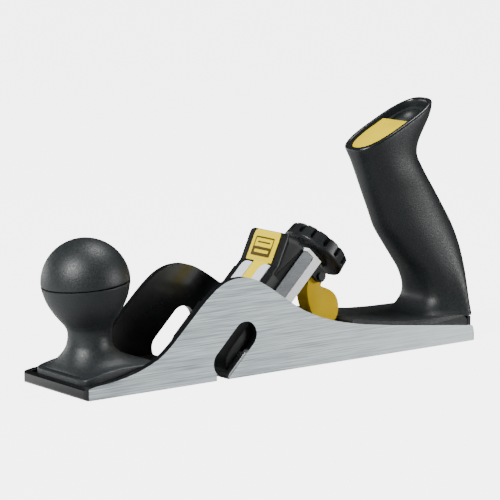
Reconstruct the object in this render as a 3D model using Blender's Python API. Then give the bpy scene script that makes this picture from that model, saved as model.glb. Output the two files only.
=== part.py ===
"""Rebate bench plane: casting with open sides, knob, handle and a cutter carriage on a 45 degree bed.

Units are metres in the scene; the constants below are millimetres. The sole is z = 0, the toe is at -X
and the plane's left side is at -Y. Carriage pieces are drawn in bed coordinates: u runs up the bed from
the cutting edge, n stands off the bed towards the toe.
"""
import math

import bmesh
import bpy
import numpy as np

MM = 0.001

# Driving dimensions of the casting
LENGTH = 254.0
WIDTH = 58.0
CHEEK = 4.0
SOLE_THICK = 5.0
BED_X = -41.0
BED_ANGLE = 45.0
MOUTH = 7.0
SLOT_R = 7.3
SLOT_LOW_Z = 8.6
SLOT_HIGH_Z = 21.2
LIP_HEIGHT = 5.7
RIM_HEIGHT = 12.6
GAP = 0.3

# Driving dimensions of the knob
KNOB_X = -107.4
KNOB_SEAM_Z = 52.5
KNOB_R = 22.0
KNOB_LEAN = 3.7
SKIRT_X = (-123.9, -78.5)
SKIRT_CLEAR = 1.4
SKIRT_TOP = 12.6
SKIRT_FALL = 3.8
SKIRT_SLOPE_X = -106.0

# Driving dimensions of the cutter carriage
PLATE_HALF = 20.0
PLATE_LOW = -10.6
PLATE_HIGH = -5.6
HOLDER_LOW = -5.3
HOLDER_HIGH = -0.2
PLATE_END = 84.0
PLATE_RISE = 9.2
BLADE_SHY = 0.4
BLADE_LONG = 16.0
BLADE_THICK = 1.0
BLADE_PINS = (-15.0, 15.0)
CAP_HALF = 16.6
CAP_FACE = 7.2
CAP_KINK_U = 66.0
CAP_TOP = (80.5, 12.6)
NOSE_CLEAR = 0.5
LABEL_HALF = 12.2
STEM_HALF = 3.7
PANEL_OUT = 11.8

# Driving dimensions of the adjuster and the cam lever
SHAFT_N = -17.0
STUD_R = 2.4
WHEEL_R = 17.9
WHEEL_U = (90.6, 99.3)
FLUTES = 14
LEVER_PIVOT = (80.0, -18.0)
LEVER_Y = (-14.5, -5.2)

# Driving dimensions of the handle
OPENING_FRONT = (62.0, 106.2)
OPENING_TILT = 26.0
OPENING_HALF = (28.4, 14.5)
CAVITY_DEPTH = 20.0
HANDLE_SCREWS = (62.0, 108.0)

NODES = []


def clear_scene():
    for obj in list(bpy.data.objects):
        bpy.data.objects.remove(obj, do_unlink=True)


def material(name, colour, roughness, metallic=0.0):
    made = bpy.data.materials.new(name)
    made.use_nodes = True
    shader = made.node_tree.nodes["Principled BSDF"]
    shader.inputs["Base Color"].default_value = (*colour, 1.0)
    shader.inputs["Roughness"].default_value = roughness
    shader.inputs["Metallic"].default_value = metallic
    made.diffuse_color = (*colour, 1.0)
    return made


# Shapes

def mesh_object(name, points, faces):
    mesh = bpy.data.meshes.new(name)
    mesh.from_pydata([tuple(float(c) * MM for c in p) for p in points], [], faces)
    shape = bmesh.new()
    shape.from_mesh(mesh)
    bmesh.ops.recalc_face_normals(shape, faces=shape.faces)
    shape.to_mesh(mesh)
    shape.free()
    obj = bpy.data.objects.new(name, mesh)
    bpy.context.scene.collection.objects.link(obj)
    return obj


def loft(name, rings):
    """A closed skin over rings of equal length, capped flat at both ends."""
    count = len(rings[0])
    points = [p for ring in rings for p in ring]
    faces = []
    for level in range(len(rings) - 1):
        for i in range(count):
            j = (i + 1) % count
            low, high = level * count, (level + 1) * count
            faces.append((low + i, low + j, high + j, high + i))
    faces.append(tuple(range(count)))
    faces.append(tuple(range((len(rings) - 1) * count, len(rings) * count)))
    return mesh_object(name, points, faces)


def prism(name, outline, low, high):
    """An X-Z outline pulled along Y."""
    rings = [[(x, y, z) for x, z in outline] for y in (low, high)]
    return loft(name, rings)


def bed(u, n, y=0.0):
    """Bed coordinates to the common frame."""
    a = math.radians(BED_ANGLE)
    return (
        BED_X + u * math.cos(a) - n * math.sin(a),
        y,
        u * math.sin(a) + n * math.cos(a),
    )


def bed_prism(name, outline, low, high):
    return prism(name, [bed(u, n)[::2] for u, n in outline], low, high)


def frame_for(axis):
    """Two unit vectors square to the axis."""
    axis = np.array(axis, float)
    axis /= np.linalg.norm(axis)
    side = np.cross(axis, (0.0, 1.0, 0.0))
    if np.linalg.norm(side) < 0.1:
        side = np.cross(axis, (1.0, 0.0, 0.0))
    side /= np.linalg.norm(side)
    return axis, side, np.cross(axis, side)


def turned(name, start, axis, profile, count=32):
    """A solid of revolution from (distance along the axis, radius) pairs; it may return down a bore."""
    axis, side, other = frame_for(axis)
    start = np.array(start, float)
    points, faces, rows = [], [], []
    for along, radius in profile:
        if radius <= 1e-6:
            rows.append([len(points)])
            points.append(start + axis * along)
            continue
        rows.append(list(range(len(points), len(points) + count)))
        for i in range(count):
            a = 2 * math.pi * i / count
            spoke = side * math.cos(a) + other * math.sin(a)
            points.append(start + axis * along + spoke * radius)
    for one, two in zip(rows[:-1], rows[1:]):
        for i in range(count):
            j = (i + 1) % count
            corners = [one[i % len(one)], one[j % len(one)], two[j % len(two)], two[i % len(two)]]
            kept = [c for k, c in enumerate(corners) if c not in corners[:k]]
            if len(kept) > 2:
                faces.append(tuple(kept))
    return mesh_object(name, points, faces)


def rod(name, start, axis, length, radius, count=24):
    return turned(name, start, axis, [(0, 0), (0, radius), (length, radius), (length, 0)], count)


def box(name, low, high):
    corners = [(low[0], low[2]), (high[0], low[2]), (high[0], high[2]), (low[0], high[2])]
    return prism(name, corners, low[1], high[1])


def arc(centre, radius, start, end, count):
    return [
        (
            centre[0] + radius * math.cos(math.radians(start + (end - start) * i / count)),
            centre[1] + radius * math.sin(math.radians(start + (end - start) * i / count)),
        )
        for i in range(count + 1)
    ]


def flowing(points, steps):
    """A Catmull-Rom curve through the points, with this many steps from each to the next."""
    ends = [points[0]] + list(points) + [points[-1]]
    out = []
    for a, b, c, d in zip(ends, ends[1:], ends[2:], ends[3:]):
        for step in range(steps):
            t = step / steps
            weights = (
                (-t + 2 * t * t - t ** 3) / 2,
                (2 - 5 * t * t + 3 * t ** 3) / 2,
                (t + 4 * t * t - 3 * t ** 3) / 2,
                (-t * t + t ** 3) / 2,
            )
            out.append(tuple(
                sum(w * p[k] for w, p in zip(weights, (a, b, c, d))) for k in (0, 1)
            ))
    return out + [points[-1]]


def rounded_ring(centre, half, exponent, count, taper=0.0):
    """A superellipse in plan: centre (x, y, z), half sizes (long, wide); taper narrows its toe end."""
    ring = []
    for i in range(count):
        a = 2 * math.pi * i / count
        c, s = math.cos(a), math.sin(a)
        x = math.copysign(abs(c) ** (2 / exponent), c)
        y = math.copysign(abs(s) ** (2 / exponent), s) * (1 - taper * (1 - x) / 2)
        ring.append((centre[0] + x * half[0], centre[1] + y * half[1], centre[2]))
    return ring


# Booleans

def boolean(obj, other, operation):
    step = obj.modifiers.new(operation.title(), "BOOLEAN")
    step.operation = operation
    step.solver = "EXACT"
    step.object = other
    bpy.context.view_layer.update()
    graph = bpy.context.evaluated_depsgraph_get()
    result = bpy.data.meshes.new_from_object(obj.evaluated_get(graph))
    obj.modifiers.clear()
    old = obj.data
    obj.data = result
    bpy.data.meshes.remove(old)
    bpy.data.objects.remove(other, do_unlink=True)
    return obj


def cut(obj, *cutters):
    for cutter in cutters:
        boolean(obj, cutter, "DIFFERENCE")
    return obj


def add(obj, *others):
    for other in others:
        boolean(obj, other, "UNION")
    return obj


def finish(obj, name, paint, pivot=None):
    """Names the node, gives it its material and puts its origin on the joint axis."""
    obj.name = name
    obj.data.name = name
    obj.data.materials.clear()
    obj.data.materials.append(paint)
    if pivot is not None:
        shift = [c * MM for c in pivot]
        for vertex in obj.data.vertices:
            vertex.co = [v - s for v, s in zip(vertex.co, shift)]
        obj.location = shift
    NODES.append(obj)
    return obj


# The casting

def side_outline():
    """The cheek seen from the left, from the toe round the top to the heel."""
    half = LENGTH / 2
    top = [
        (-half + 6.0, 6.6), (-111.0, 7.6), (-102.0, 9.2),
        (-95.0, 11.0), (-88.0, 13.6), (-82.5, 16.2), (-77.0, 20.2), (-72.0, 24.8), (-67.0, 29.6),
        (-62.0, 34.4), (-57.0, 39.2), (-52.0, 43.6), (-47.0, 47.2), (-42.0, 49.6), (-37.0, 50.8),
        (-31.0, 51.0), (-26.0, 50.0), (-21.5, 48.2), (-16.5, 45.4), (-11.5, 42.2), (-6.0, 38.4),
        (-1.0, 35.2), (4.0, 32.0), (9.0, 29.3), (14.0, 27.0), (19.5, 24.8), (25.0, 23.0), (30.5, 21.4),
        (36.0, 20.1), (46.0, 18.1), (57.0, 16.5), (74.0, 14.2), (96.0, 11.6), (half - 7.5, 8.9),
    ]
    toe = [(-half, LIP_HEIGHT - 0.6), (-half + 0.8, LIP_HEIGHT)]
    heel = [
        (half - 3.0, 8.4), (half - 2.2, 7.4), (half, 1.2), (half - 0.8, 0.0), (-half + 1.2, 0.0), (-half, 1.2),
    ]
    return toe + flowing(top, 3) + heel


def slot_outline():
    """The round-ended side opening along the bed, with the mouth running out of its lower end."""
    reach = SLOT_R * math.sqrt(2.0)
    low = (BED_X - reach + SLOT_LOW_Z, SLOT_LOW_Z)
    high = (BED_X - reach + SLOT_HIGH_Z, SLOT_HIGH_Z)
    front = BED_X - MOUTH
    meet = 180.0 + math.degrees(math.acos((low[0] - front) / SLOT_R))
    outline = [(BED_X - 3.0, -3.0), (front, -3.0)]
    outline += arc(low, SLOT_R, meet, 135.0, 14)
    outline += arc(high, SLOT_R, 135.0, -45.0, 30)
    return outline


def corner_cutter(x, y, radius=3.0):
    """What a rounded plan corner loses."""
    sx, sy = math.copysign(1, x), math.copysign(1, y)
    cx, cy = x - sx * radius, y - sy * radius
    ring = [(x + sx, y + sy), (x + sx, cy), (x, cy)]
    for i in range(1, 7):
        a = math.radians(90 * i / 6)
        ring.append((cx + sx * radius * math.cos(a), cy + sy * radius * math.sin(a)))
    ring.append((cx, y + sy))
    return loft("corner", [[(px, py, z) for px, py in ring] for z in (-3.0, 30.0)])


def frog_blocks():
    """The 45 degree bed between the cheeks, with a rail up each side of the carriage."""
    inner = WIDTH / 2 - CHEEK + 0.6
    rest = PLATE_LOW - GAP
    bed_face = [bed(16.0, rest)[::2], bed(44.0, rest)[::2], bed(44.0, -24.0)[::2], (14.0, 4.0)]
    rail = [(17.0, rest - 1.0), (43.2, rest - 1.0), (43.2, -6.0), (21.0, -6.0), (15.0, -10.0)]
    blocks = [prism("frog", bed_face, -inner, inner)]
    for sign in (-1, 1):
        low, high = sorted((sign * (PLATE_HALF + GAP), sign * inner))
        blocks.append(bed_prism("rail", rail, low, high))
    return blocks


def make_body(paint):
    half = LENGTH / 2
    inner = WIDTH / 2 - CHEEK
    body = prism("body", side_outline(), -WIDTH / 2, WIDTH / 2)
    trough = box("trough", (-half + 2.7, -inner, SOLE_THICK), (half - 2.6, inner, 90.0))
    cut(body, trough)
    rim = box("rim", (half - 2.6, -inner + 0.2, SOLE_THICK - 1), (half - 0.4, inner - 0.2, RIM_HEIGHT))
    add(body, rim)
    add(body, *frog_blocks())
    cut(body, prism("slot", slot_outline(), -WIDTH, WIDTH))
    for x in (-half, half):
        for y in (-WIDTH / 2, WIDTH / 2):
            cut(body, corner_cutter(x, y))
    cut(body, rod("stud hole", bed(29.6, SHAFT_N), bed_axis(), 20.0, STUD_R + GAP))
    knob_x = KNOB_X + 2.0
    cut(body, rod("knob hole", (knob_x, 0, 1.6), (0, 0, 1), 6.0, 3.1))
    for x in HANDLE_SCREWS:
        profile = [(-1, 0), (-1, 5.6), (0, 5.6), (3.0, 2.6), (8, 2.6), (8, 0)]
        cut(body, turned("screw hole", (x, 0, 0), (0, 0, 1), profile))
    return finish(body, "body", paint)


def bed_axis():
    a = math.radians(BED_ANGLE)
    return (math.cos(a), 0.0, math.sin(a))


def bed_normal():
    a = math.radians(BED_ANGLE)
    return (-math.sin(a), 0.0, math.cos(a))



# The knob

def knob_axis():
    a = math.radians(KNOB_LEAN)
    return (-math.sin(a), 0.0, math.cos(a))


def leaning(ring, height):
    """Tilts a level ring about the knob's seam centre."""
    a = math.radians(KNOB_LEAN)
    out = []
    for x, y, z in ring:
        dx, dz = x, height
        out.append((
            KNOB_X + dx * math.cos(a) - dz * math.sin(a),
            y,
            KNOB_SEAM_Z + dz * math.cos(a) + dx * math.sin(a),
        ))
    return out


def skirt_top(x):
    """The skirt's top falls away towards the toe."""
    return SKIRT_TOP - SKIRT_FALL * max(0.0, (SKIRT_SLOPE_X - x) / (SKIRT_SLOPE_X - SKIRT_X[0]))


def make_knob_base(paint):
    count = 48
    rings = []
    middle = (SKIRT_X[0] + SKIRT_X[1]) / 2
    long = (SKIRT_X[1] - SKIRT_X[0]) / 2
    wide = WIDTH / 2 - CHEEK - SKIRT_CLEAR
    floor = SOLE_THICK + GAP
    for share, inset in ((0.0, 0.0), (0.7, 0.0), (0.9, 0.5), (1.0, 1.8)):
        ring = rounded_ring((middle, 0, 0), (long - inset, wide - inset), 9.0, count)
        rings.append([(x, y, floor + (skirt_top(x) - floor) * share) for x, y, _ in ring])
    neck = KNOB_X + 1.9
    bell = (
        (13.6, 0.62, 19.0, 18.5, 4.0), (15.2, 0.8, 16.2, 16.0, 3.0), (17.4, 0.9, 14.0, 13.9, 2.3),
        (20.2, 0.97, 12.1, 12.2, 2.0), (23.0, 1.0, 11.2, 11.3, 2.0), (26.0, 1.0, 10.9, 10.9, 2.0),
    )
    for z, share, long_half, side_half, power in bell:
        x = middle + (neck - middle) * share
        ring = rounded_ring((x, 0, z), (long_half, side_half), power, count)
        sag = max(0.0, (20.2 - z) / 7.6)
        rings.append([(a, b, c - (SKIRT_TOP - skirt_top(a)) * sag) for a, b, c in ring])
    for height, radius in ((-22.5, 11.6), (-20.0, 13.0), (-16.5, 15.6), (-12.5, 18.2), (-8.0, 20.4), (-4.0, 21.6)):
        rings.append(leaning(rounded_ring((0, 0, 0), (radius, radius), 2.0, count), height))
    rings.append(leaning(rounded_ring((0, 0, 0), (KNOB_R - 0.1, KNOB_R - 0.1), 2.0, count), -0.6))
    rings.append(leaning(rounded_ring((0, 0, 0), (KNOB_R - 0.6, KNOB_R - 0.6), 2.0, count), -0.15))
    base = loft("knob_base", rings)
    x = KNOB_X + 2.0
    bore = [(0, 0), (0, 3.2), (40.0, 3.2), (40.0, 7.0), (60.0, 7.0), (60.0, 0)]
    cut(base, turned("knob bore", (x, 0, 0), (0, 0, 1), bore))
    return finish(base, "knob_base", paint)


def make_knob_cap(paint):
    count = 48
    levels = [(0.15, KNOB_R - 0.6), (0.6, KNOB_R - 0.05)]
    for angle in (14, 26, 38, 50, 62, 73, 83):
        a = math.radians(angle)
        levels.append((KNOB_R * math.sin(a), KNOB_R * math.cos(a)))
    rings = [leaning(rounded_ring((0, 0, 0), (r, r), 2.0, count), h) for h, r in levels]
    cap = loft("knob_cap", rings)
    spigot = [(-4.6, 0), (-4.6, 5.6), (-4.2, 6.0), (3.0, 6.0), (3.0, 0)]
    add(cap, turned("spigot", (KNOB_X + 1.4, 0, KNOB_SEAM_Z), knob_axis(), spigot))
    return finish(cap, "knob_cap", paint, (KNOB_X, 0, KNOB_SEAM_Z))


def make_knob_bolt(paint):
    profile = [(2.0, 0), (2.0, 2.4), (2.6, 2.8), (40.3, 2.8), (40.3, 6.2), (43.6, 6.2), (44.2, 5.6), (44.2, 0)]
    bolt = turned("knob_bolt", (KNOB_X + 2.0, 0, 0), (0, 0, 1), profile)
    slot = box("slot", (KNOB_X - 8, -0.7, 42.8), (KNOB_X + 12, 0.7, 46.0))
    cut(bolt, slot)
    return finish(bolt, "knob_bolt", paint)


# The handle

def opening_point(along, across, up):
    """The mouth of the handle: along its slope from the front, across, and square to it."""
    a = math.radians(OPENING_TILT)
    return (
        OPENING_FRONT[0] + along * math.cos(a) - up * math.sin(a),
        across,
        OPENING_FRONT[1] + along * math.sin(a) + up * math.cos(a),
    )


def opening_ring(inset, up, count=40):
    half_long = OPENING_HALF[0] - inset
    half_side = OPENING_HALF[1] - inset
    flat = rounded_ring((OPENING_HALF[0], 0, 0), (half_long, half_side), 2.3, count)
    return [opening_point(x, y, up) for x, y, _ in flat]


def make_handle(paint):
    count = 40
    # height, front, back, half width, squareness, taper
    grip = (
        (13.2, 97.0, 128.6, 27.6, 7.0, 0.40), (14.4, 100.0, 129.2, 27.4, 6.4, 0.42),
        (17.0, 104.0, 129.6, 26.6, 5.4, 0.44), (22.0, 107.2, 130.6, 25.0, 4.2, 0.42),
        (28.0, 106.4, 132.0, 23.2, 3.4, 0.38), (36.0, 102.2, 133.2, 21.0, 2.9, 0.30),
        (44.0, 95.4, 133.6, 19.0, 2.6, 0.25), (52.0, 88.8, 132.4, 17.4, 2.45, 0.20),
        (62.0, 81.2, 128.8, 16.0, 2.3, 0.15), (72.0, 76.7, 122.6, 15.3, 2.3, 0.15),
        (82.0, 72.3, 116.0, 14.9, 2.3, 0.15), (90.0, 69.2, 110.4, 14.6, 2.3, 0.10),
        (98.0, 65.8, 105.4, 14.2, 2.3, 0.08),
    )
    rings = []
    for z, front, back, half, power, taper in grip:
        middle, long = (front + back) / 2, (back - front) / 2
        rings.append(rounded_ring((middle, 0, z), (long, half), power, count, taper))
    top = opening_ring(0.0, -1.2)
    for share in (0.25, 0.5, 0.75):
        ring = []
        for i, ((x0, y0, z0), (x1, y1, z1)) in enumerate(zip(rings[12], top)):
            bend = share ** (1.7 + 0.7 * math.cos(2 * math.pi * i / count))
            ring.append((x0 + (x1 - x0) * bend, y0 + (y1 - y0) * bend, z0 + (z1 - z0) * share))
        rings.append(ring)
    rings.append(top)
    rings.append(opening_ring(0.8, 0.0))
    handle = loft("handle", rings)
    inner = WIDTH / 2 - CHEEK - GAP
    floor = SOLE_THICK + GAP
    foot = [
        (43.2, floor), (124.0, floor), (124.0, 11.2), (121.0, 14.0), (96.0, 14.4), (80.0, 15.2), (62.0, 17.4),
        (47.0, 19.9), (44.2, 20.2), (43.2, 19.2),
    ]
    add(handle, prism("foot", foot, -inner, inner))
    cut(handle, loft("recess", [opening_ring(3.4, -3.4), opening_ring(2.6, 3.0)]))
    pockets = (("well", 6.4, 34.4, 6.8, CAVITY_DEPTH), ("scoop", 30.0, 42.6, 5.0, 8.0))
    for name, front, back, half, deep in pockets:
        corners = ((front, -half), (back, -half), (back, half), (front, half))
        levels = [[opening_point(x, y, up) for x, y in corners] for up in (-deep, -1.0)]
        cut(handle, loft(name, levels))
    for x in HANDLE_SCREWS:
        cut(handle, rod("screw hole", (x, 0, 0), (0, 0, 1), 14.8, 2.6))
    return finish(handle, "handle", paint)


def make_handle_screw(name, x, paint):
    profile = [(0.4, 0), (0.4, 4.9), (2.9, 2.25), (14.0, 2.25), (14.5, 1.6), (14.5, 0)]
    screw = turned(name, (x, 0, 0), (0, 0, 1), profile)
    for low, high in (((x - 3.2, -0.5, -1.0), (x + 3.2, 0.5, 1.6)), ((x - 0.5, -3.2, -1.0), (x + 0.5, 3.2, 1.6))):
        cut(screw, box("cross", low, high))
    return finish(screw, name, paint)


def make_blade_store(paint):
    """The yellow drawer: a lid on the ledge of the opening and a tray below it."""
    flat = []
    long, wide = OPENING_HALF
    for x, y, _ in rounded_ring((long, 0, 0), (long - 3.9, wide - 3.9), 2.3, 40):
        flat.append((min(x, 34.0), y))
    plate = loft("store", [[opening_point(x, y, up) for x, y in flat] for up in (-3.0, -1.4)])
    tray = [(6.8, -6.4), (33.2, -6.4), (33.2, 6.4), (6.8, 6.4)]
    add(plate, loft("tray", [[opening_point(x, y, up) for x, y in tray] for up in (-CAVITY_DEPTH + 1.0, -2.0)]))
    pocket = [(8.4, -5.0), (34.0, -5.0), (34.0, 5.0), (8.4, 5.0)]
    shapes = [[opening_point(x, y, up) for x, y in pocket] for up in (-CAVITY_DEPTH + 2.6, -4.6)]
    cut(plate, loft("pocket", shapes))
    return finish(plate, "blade_store", paint, opening_point(20, 0, 0))


# The carriage

def make_carrier_plate(paint):
    end = PLATE_END
    outline = [
        (-PLATE_LOW + PLATE_RISE, PLATE_LOW), (end + 0.2, PLATE_LOW), (end + 0.2, 0.4), (end - 1.5, 0.4),
        (end - 1.5, PLATE_HIGH), (-PLATE_HIGH + PLATE_RISE, PLATE_HIGH),
    ]
    plate = bed_prism("carrier", outline, -PLATE_HALF, PLATE_HALF)
    cut(plate, rod("pin hole", bed(LEVER_PIVOT[0], -14.0, -9.8), bed_normal(), 12.0, 2.4))
    cut(plate, rod("screw hole", bed(38.0, -14.0), bed_normal(), 20.0, 2.5))
    return finish(plate, "carrier_plate", paint)


def make_blade_holder(paint):
    end = PLATE_END - 1.9
    corner = arc((end - 3.6, HOLDER_LOW + 3.6), 3.6, -90, 0, 6)
    outline = [(-HOLDER_LOW + PLATE_RISE, HOLDER_LOW)] + corner
    outline += [(end, HOLDER_HIGH), (-HOLDER_HIGH + PLATE_RISE, HOLDER_HIGH)]
    holder = bed_prism("holder", outline, -PLATE_HALF, PLATE_HALF)
    cut(holder, rod("pin hole", bed(LEVER_PIVOT[0], -8.0, -9.8), bed_normal(), 12.0, 2.4))
    cut(holder, rod("screw hole", bed(38.0, -8.0), bed_normal(), 14.0, 2.5))
    for y in BLADE_PINS:
        cut(holder, rod("locating hole", bed(12.4, -3.0, y), bed_normal(), 6.0, 1.5, 16))
    return finish(holder, "blade_holder", paint)



def make_blade(paint):
    low = HOLDER_HIGH + 0.5
    high = low + BLADE_THICK
    outline = [(0.3, low), (0.3 + BLADE_LONG, low), (0.3 + BLADE_LONG, high), (2.6, high), (0.3, low + 0.12)]
    half = WIDTH / 2 - BLADE_SHY
    blade = bed_prism("blade", outline, -half, half)
    for y in BLADE_PINS:
        cut(blade, rod("locating hole", bed(12.4, -2.0, y), bed_normal(), 6.0, 1.5, 16))
    return finish(blade, "blade", paint)


def make_blade_pin(name, y, paint):
    profile = [(0, 0), (0, 1.1), (4.3, 1.1), (4.6, 0.8), (4.6, 0)]
    pin = turned(name, bed(12.4, -2.7, y), bed_normal(), profile, 16)
    return finish(pin, name, paint)


def make_lever_cap(paint):
    under = HOLDER_HIGH + GAP
    over = HOLDER_HIGH + 0.5 + BLADE_THICK + GAP
    top_u, top_n = CAP_TOP
    end = PLATE_END - 1.9
    outline = [
        (4.4, over), (19.0, over), (20.6, under), (end - 0.2, under), (end, 4.0), (end - 0.4, 8.6),
        (end - 1.0, 11.2), (top_u, top_n), (CAP_KINK_U, CAP_FACE),
        (13.0, CAP_FACE), (8.4, 6.0), (5.0, 2.6),
    ]
    cap = bed_prism("cap", outline, -CAP_HALF, CAP_HALF)
    nose = [
        (4.4, over), (19.0, over), (20.6, under), (36.0, under), (36.0, CAP_FACE - 0.6), (13.0, CAP_FACE - 0.6),
        (8.4, 5.6), (5.0, 2.4),
    ]
    half = WIDTH / 2 - CHEEK - NOSE_CLEAR
    add(cap, bed_prism("nose", nose, -half, half))
    for y in BLADE_PINS:
        cut(cap, rod("pin room", bed(12.4, -1.0, y), bed_normal(), 3.7, 1.7, 16))
    well = [(-8, 0), (-8, 2.5), (3.0, 2.5), (3.0, 4.6), (14, 4.6), (14, 0)]
    cut(cap, turned("screw well", bed(38.0, 0.0), bed_normal(), well))
    return finish(cap, "lever_cap", paint)


def make_cap_screw(paint):
    profile = [(-10.4, 0), (-10.4, 1.8), (-10.0, 2.1), (3.3, 2.1), (3.3, 4.2), (6.2, 4.2), (6.6, 3.8), (6.6, 0)]
    screw = turned("cap_screw", bed(38.0, 0.0), bed_normal(), profile)
    slot = [(30.0, 5.4), (46.0, 5.4), (46.0, 9.0), (30.0, 9.0)]
    cut(screw, bed_prism("slot", slot, -0.6, 0.6))
    return finish(screw, "cap_screw", paint)


def on_kink(share, off):
    """A point on the sloping upper face of the cap."""
    du, dn = CAP_TOP[0] - CAP_KINK_U, CAP_TOP[1] - CAP_FACE
    length = math.hypot(du, dn)
    return (
        CAP_KINK_U + du * share - dn / length * off,
        CAP_FACE + dn * share + du / length * off,
    )


def make_label(paint):
    low, high = GAP, GAP + 0.8
    plate = bed_prism(
        "label", [on_kink(0.03, low), on_kink(0.9, low), on_kink(0.9, high), on_kink(0.03, high)],
        -LABEL_HALF, LABEL_HALF,
    )
    stem = [
        (43.0, CAP_FACE + low), on_kink(0.0, low), on_kink(0.1, low), on_kink(0.1, high), on_kink(0.0, high),
        (43.0, CAP_FACE + high),
    ]
    add(plate, bed_prism("stem", stem, -STEM_HALF, STEM_HALF))
    return finish(plate, "cap_label", paint)


def make_panel(name, sign, paint):
    low, high = sorted((sign * (STEM_HALF + GAP + 0.1), sign * PANEL_OUT))
    base = CAP_FACE + GAP
    outline = [(43.0, base), (CAP_KINK_U - 1.0, base), (CAP_KINK_U - 1.6, base + 0.6), (43.0, base + 0.6)]
    return finish(bed_prism(name, outline, low, high), name, paint)


# The adjuster

def make_stud(paint):
    profile = [(0, 0), (0, 2.0), (0.5, STUD_R), (62.4, STUD_R), (63.0, 1.8), (63.0, 0)]
    return finish(turned("stud", bed(30.0, SHAFT_N), bed_axis(), profile), "adjuster_stud", paint)


def make_wheel(paint):
    low, high = WHEEL_U
    bore = STUD_R + GAP
    profile = [
        (85.0, bore), (85.0, 5.6), (86.4, 5.6), (86.4, 4.0), (88.7, 4.0), (88.7, 8.4), (low, 10.0),
        (low, WHEEL_R - 2.6), (low + 1.7, WHEEL_R), (high - 1.7, WHEEL_R), (high, WHEEL_R - 1.8),
        (high, 11.0), (high - 1.0, 10.0), (high - 1.0, 0), (97.4, 0), (97.4, bore),
    ]
    start = bed(0.0, SHAFT_N)
    wheel = turned_ring("wheel", start, bed_axis(), profile, 56)
    for i in range(FLUTES):
        a = 2 * math.pi * (i + 0.5) / FLUTES
        _, side, other = frame_for(bed_axis())
        centre = np.array(bed(low - 2, SHAFT_N)) + (side * math.cos(a) + other * math.sin(a)) * (WHEEL_R + 0.5)
        cut(wheel, rod("flute", centre, bed_axis(), 13.0, 1.9, 12))
    return finish(wheel, "adjuster_wheel", paint, bed(88.0, SHAFT_N))


def turned_ring(name, start, axis, profile, count):
    """A solid of revolution whose profile closes on itself round a blind bore."""
    split = [i for i, (_, radius) in enumerate(profile) if radius <= 1e-6]
    outer = [(profile[0][0], 0.0)] + profile[: split[0] + 1]
    solid = turned(name, start, axis, outer, count)
    depth = profile[split[1]][0]
    hole = [(profile[0][0] - 2.0, 0), (profile[0][0] - 2.0, profile[0][1]), (depth, profile[0][1]), (depth, 0)]
    return cut(solid, turned("bore", start, axis, hole, 32))


def make_yoke(paint):
    back = PLATE_LOW - GAP
    arm = [(70.0, back), (88.2, back), (88.2, -21.6), (86.8, -21.6), (86.8, back - 1.5), (70.0, back - 1.5)]
    yoke = bed_prism("yoke", arm, 4.8, 17.0)
    fork = [(86.8, back), (88.2, back), (88.2, -21.6), (86.8, -21.6)]
    add(yoke, bed_prism("fork", fork, -8.4, 6.0))
    cut(yoke, rod("fork bore", bed(84.0, SHAFT_N), bed_axis(), 8.0, 4.3))
    open_side = [(84.0, SHAFT_N), (92.0, SHAFT_N), (92.0, -30.0), (84.0, -30.0)]
    cut(yoke, bed_prism("fork way", open_side, -4.3, 4.3))
    return finish(yoke, "wheel_yoke", paint)


# The cam lever

def make_bracket(paint):
    back = PLATE_LOW - GAP
    base = [(72.0, back), (84.0, back), (84.0, back - 1.4), (72.0, back - 1.4)]
    bracket = bed_prism("bracket", base, -17.0, -3.0)
    u, n = LEVER_PIVOT
    lug = [(u + 3.4, back - 0.2)] + arc((u, n), 3.4, 0, -180, 10) + [(u - 3.4, back - 0.2)]
    for low, high in ((-17.0, LEVER_Y[0] - GAP), (LEVER_Y[1] + GAP, -3.0)):
        add(bracket, bed_prism("lug", lug, low, high))
    cut(bracket, rod("pin way", bed(u, -14.0, -9.8), bed_normal(), 6.0, 2.4))
    cut(bracket, rod("pivot hole", bed(u, n, -20.0), (0, 1, 0), 20.0, 1.7))
    return finish(bracket, "lever_bracket", paint)


def make_pivot_pin(paint):
    u, n = LEVER_PIVOT
    profile = [(0, 0), (0, 2.4), (0.8, 2.4), (0.8, 1.4), (15.0, 1.4), (15.0, 0)]
    pin = turned("pivot", bed(u, n, -18.1), (0, 1, 0), profile, 20)
    return finish(pin, "lever_pivot_pin", paint)


def make_lever(paint):
    u, n = LEVER_PIVOT
    head = arc((u, n), 3.9, 90, -70, 14)
    paddle = [
        (77.4, -23.4), (78.2, -25.6), (79.4, -28.4), (80.2, -31.6), (80.2, -34.8), (79.0, -38.2), (76.6, -41.2),
        (73.4, -43.2), (70.0, -43.9), (66.8, -43.0), (64.2, -40.6), (62.7, -37.4), (62.4, -33.6), (63.2, -29.6),
        (64.8, -25.4), (67.2, -21.2), (70.2, -17.6), (73.6, -15.2), (77.0, -14.2),
    ]
    lever = bed_prism("lever", head + flowing(paddle, 3), *LEVER_Y)
    cut(lever, rod("pivot hole", bed(u, n, -20.0), (0, 1, 0), 20.0, 1.7))
    return finish(lever, "cam_lever", paint, bed(u, n, sum(LEVER_Y) / 2))


def make_pressure_pin(paint):
    start = LEVER_PIVOT[1] + 3.9 + GAP
    length = HOLDER_HIGH - start
    profile = [(0, 0), (0, 1.6), (0.5, 2.0), (length - 0.4, 2.0), (length, 1.6), (length, 0)]
    pin = turned("pressure", bed(LEVER_PIVOT[0], start, -9.8), bed_normal(), profile, 20)
    return finish(pin, "pressure_pin", paint)


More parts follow.
